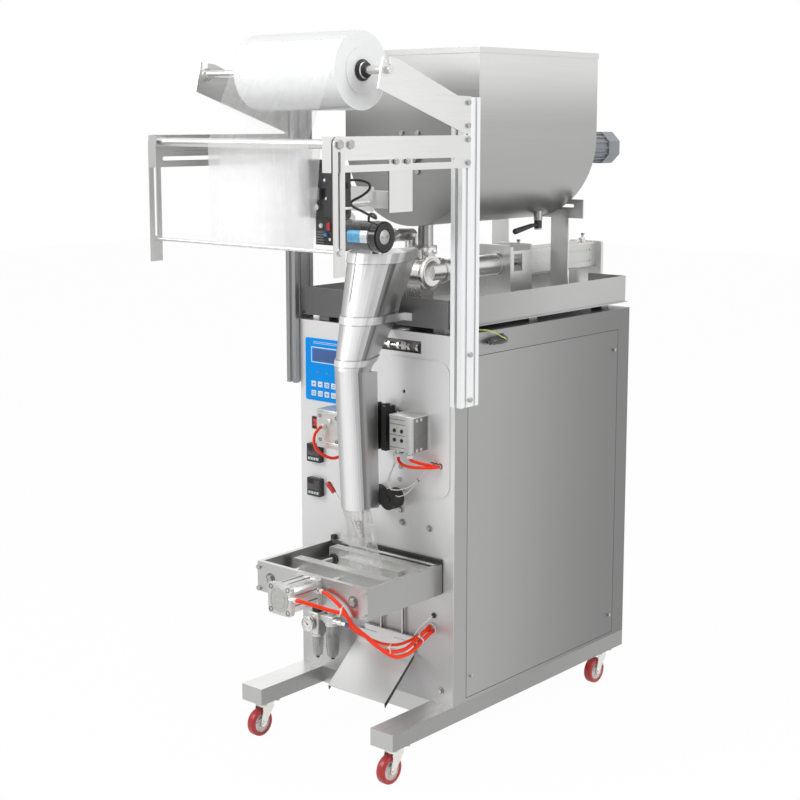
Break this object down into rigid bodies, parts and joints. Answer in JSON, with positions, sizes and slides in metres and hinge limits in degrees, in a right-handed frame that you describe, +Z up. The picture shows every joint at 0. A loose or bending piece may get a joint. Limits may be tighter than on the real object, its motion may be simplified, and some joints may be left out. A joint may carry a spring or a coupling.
{
  "type": "liquid sauce packaging machine",
  "caption": "Vertical form, fill and seal machine for sauce sachets: steel cabinet on casters, film roll frame, forming tube, sealing jaws, piston filler and stirred hopper.",
  "frame": {"origin": "on the floor, in the middle of the bounding box", "axes": "X to the right seen from the operator's side, Y to the back, Z up"},
  "size_m": [0.6356, 1.467, 1.849],
  "materials": {
    "stainless": "brushed",
    "pale_front": "satin",
    "blue_panel": "gloss",
    "black_plastic": "matte",
    "red_plastic": "gloss",
    "profile": "satin",
    "zinc": "bright",
    "film_stock": "gloss",
    "clear_film": "gloss",
    "jaw_metal": "satin",
    "roller_rubber": "matte",
    "unit_plastic": "satin",
    "knob": "matte",
    "drive": "satin",
    "hose": "satin",
    "wire": "satin",
    "red_tyre": "satin"
  },
  "bodies": {
    "machine": {"base_frame": "stainless", "cabinet_shell": "stainless", "front_panel": "pale_front", "side_covers": "stainless", "rear_cover": "stainless", "control_panel": "blue_panel", "panel_instruments": "black_plastic", "posts": "profile", "roll_arms": "stainless", "side_plates": "stainless", "fasteners": "zinc", "film_web": "clear_film", "coder_bracket": "stainless", "coder_body": "black_plastic", "coder_motor": "black_plastic", "forming_tube": "stainless", "filling_nozzle": "stainless", "seam_sealer": "stainless", "jaw_frame": "stainless", "jaw_cylinder": "profile", "chute": "stainless", "air_unit": "unit_plastic", "tray": "stainless", "filler_plates": "stainless", "product_cylinder": "stainless", "air_cylinder": "profile", "rotary_valve": "stainless", "hopper_shell": "stainless", "hopper_supports": "stainless", "stirrer_drive": "drive", "air_hoses": "hose", "cables": "wire"},
    "power_rocker": {"power_rocker": "red_plastic"},
    "film_reel": {"film_roll": "film_stock", "roll_shaft": "stainless"},
    "front_roller": {"front_roller": "stainless"},
    "second_roller": {"second_roller": "stainless"},
    "dancer": {"dancer": "stainless"},
    "print_head": {"print_head": "black_plastic"},
    "filler_piston": {"filler_piston": "stainless"},
    "valve_rotor": {"valve_rotor": "stainless"},
    "stirrer": {"stirrer": "stainless"},
    "clamp_lever": {"clamp_lever": "stainless"},
    "seam_jaw_right": {"seam_jaw_right": "jaw_metal"},
    "seam_jaw_left": {"seam_jaw_left": "jaw_metal"},
    "pull_roller_right": {"pull_roller_right": "roller_rubber"},
    "pull_roller_left": {"pull_roller_left": "roller_rubber"},
    "release_lever": {"release_lever": "stainless"},
    "jaw_front": {"jaw_front": "jaw_metal"},
    "jaw_rear": {"jaw_rear": "jaw_metal"},
    "regulator_knob": {"regulator_knob": "knob"},
    "fork_front_left": {"fork_front_left": "zinc"},
    "wheel_front_left": {"wheel_front_left": "red_tyre"},
    "fork_front_right": {"fork_front_right": "zinc"},
    "wheel_front_right": {"wheel_front_right": "red_tyre"},
    "fork_rear_left": {"fork_rear_left": "zinc"},
    "wheel_rear_left": {"wheel_rear_left": "red_tyre"},
    "fork_rear_right": {"fork_rear_right": "zinc"},
    "wheel_rear_right": {"wheel_rear_right": "red_tyre"}
  },
  "joints": [
    {"name": "swivel_front_left", "type": "hinge", "parent": "machine", "child": "fork_front_left", "pos_m": [-0.232, -0.4365, 0.09], "axis": [0, 0, 1], "continuous": true},
    {"name": "wheel_front_left", "type": "hinge", "parent": "fork_front_left", "child": "wheel_front_left", "pos_m": [-0.232, -0.4585, 0.0375], "axis": [1, 0, 0], "continuous": true},
    {"name": "swivel_front_right", "type": "hinge", "parent": "machine", "child": "fork_front_right", "pos_m": [0.232, -0.4365, 0.09], "axis": [0, 0, 1], "continuous": true},
    {"name": "wheel_front_right", "type": "hinge", "parent": "fork_front_right", "child": "wheel_front_right", "pos_m": [0.232, -0.4585, 0.0375], "axis": [1, 0, 0], "continuous": true},
    {"name": "swivel_rear_left", "type": "hinge", "parent": "machine", "child": "fork_rear_left", "pos_m": [-0.232, 0.4835, 0.09], "axis": [0, 0, 1], "continuous": true},
    {"name": "wheel_rear_left", "type": "hinge", "parent": "fork_rear_left", "child": "wheel_rear_left", "pos_m": [-0.232, 0.4615, 0.0375], "axis": [1, 0, 0], "continuous": true},
    {"name": "swivel_rear_right", "type": "hinge", "parent": "machine", "child": "fork_rear_right", "pos_m": [0.232, 0.4835, 0.09], "axis": [0, 0, 1], "continuous": true},
    {"name": "wheel_rear_right", "type": "hinge", "parent": "fork_rear_right", "child": "wheel_rear_right", "pos_m": [0.232, 0.4615, 0.0375], "axis": [1, 0, 0], "continuous": true},
    {"name": "reel_spin", "type": "hinge", "parent": "machine", "child": "film_reel", "pos_m": [0.062, -0.5455, 1.758], "axis": [1, 0, 0], "continuous": true},
    {"name": "front_roller_spin", "type": "hinge", "parent": "machine", "child": "front_roller", "pos_m": [0.062, -0.7125, 1.592], "axis": [1, 0, 0], "continuous": true},
    {"name": "second_roller_spin", "type": "hinge", "parent": "machine", "child": "second_roller", "pos_m": [0.062, -0.6715, 1.592], "axis": [1, 0, 0], "continuous": true},
    {"name": "dancer_swing", "type": "hinge", "parent": "machine", "child": "dancer", "pos_m": [0.062, -0.7125, 1.592], "axis": [1, 0, 0], "range_deg": [-30, 12], "deforming": ["film_web"]},
    {"name": "print_stroke", "type": "slide", "parent": "machine", "child": "print_head", "axis": [0, -1, 0], "range_m": [0, 0.008]},
    {"name": "piston_stroke", "type": "slide", "parent": "machine", "child": "filler_piston", "axis": [0, 1, 0], "range_m": [0, 0.15]},
    {"name": "valve_turn", "type": "hinge", "parent": "machine", "child": "valve_rotor", "pos_m": [0.062, -0.1165, 1.25], "axis": [-1, 0, 0], "range_deg": [0, 90]},
    {"name": "stirrer_spin", "type": "hinge", "parent": "machine", "child": "stirrer", "pos_m": [0.062, 0.0795, 1.564], "axis": [0, 1, 0], "continuous": true},
    {"name": "clamp_turn", "type": "hinge", "parent": "machine", "child": "clamp_lever", "pos_m": [0.15, 0.2625, 1.36], "axis": [0, 0, 1], "range_deg": [-45, 45]},
    {"name": "seam_close_right", "type": "slide", "parent": "machine", "child": "seam_jaw_right", "axis": [-1, 0, 0], "range_m": [0, 0.006]},
    {"name": "seam_close_left", "type": "slide", "parent": "machine", "child": "seam_jaw_left", "axis": [1, 0, 0], "range_m": [0, 0.006]},
    {"name": "pull_right_spin", "type": "hinge", "parent": "machine", "child": "pull_roller_right", "pos_m": [0.0893, -0.2825, 0.676], "axis": [0, 1, 0], "continuous": true},
    {"name": "pull_left_spin", "type": "hinge", "parent": "machine", "child": "pull_roller_left", "pos_m": [0.0347, -0.2825, 0.676], "axis": [0, 1, 0], "continuous": true},
    {"name": "release_turn", "type": "hinge", "parent": "machine", "child": "release_lever", "pos_m": [-0.06, -0.3105, 0.64], "axis": [0, 1, 0], "range_deg": [0, 40]},
    {"name": "jaw_front_close", "type": "slide", "parent": "machine", "child": "jaw_front", "axis": [0, 1, 0], "range_m": [0, 0.032]},
    {"name": "jaw_rear_close", "type": "slide", "parent": "machine", "child": "jaw_rear", "axis": [0, -1, 0], "range_m": [0, 0.032]},
    {"name": "rocker_tilt", "type": "hinge", "parent": "machine", "child": "power_rocker", "pos_m": [-0.211, -0.2455, 0.832], "axis": [1, 0, 0], "range_deg": [-8, 8]},
    {"name": "knob_turn", "type": "hinge", "parent": "machine", "child": "regulator_knob", "pos_m": [-0.169, -0.2955, 0.33], "axis": [0, 0, 1], "range_deg": [-135, 135]}
  ],
  "couplings": [
    {"joint": "seam_close_left", "follows": "seam_close_right", "ratio": 1},
    {"joint": "pull_left_spin", "follows": "pull_right_spin", "ratio": -1},
    {"joint": "jaw_rear_close", "follows": "jaw_front_close", "ratio": 1}
  ]
}
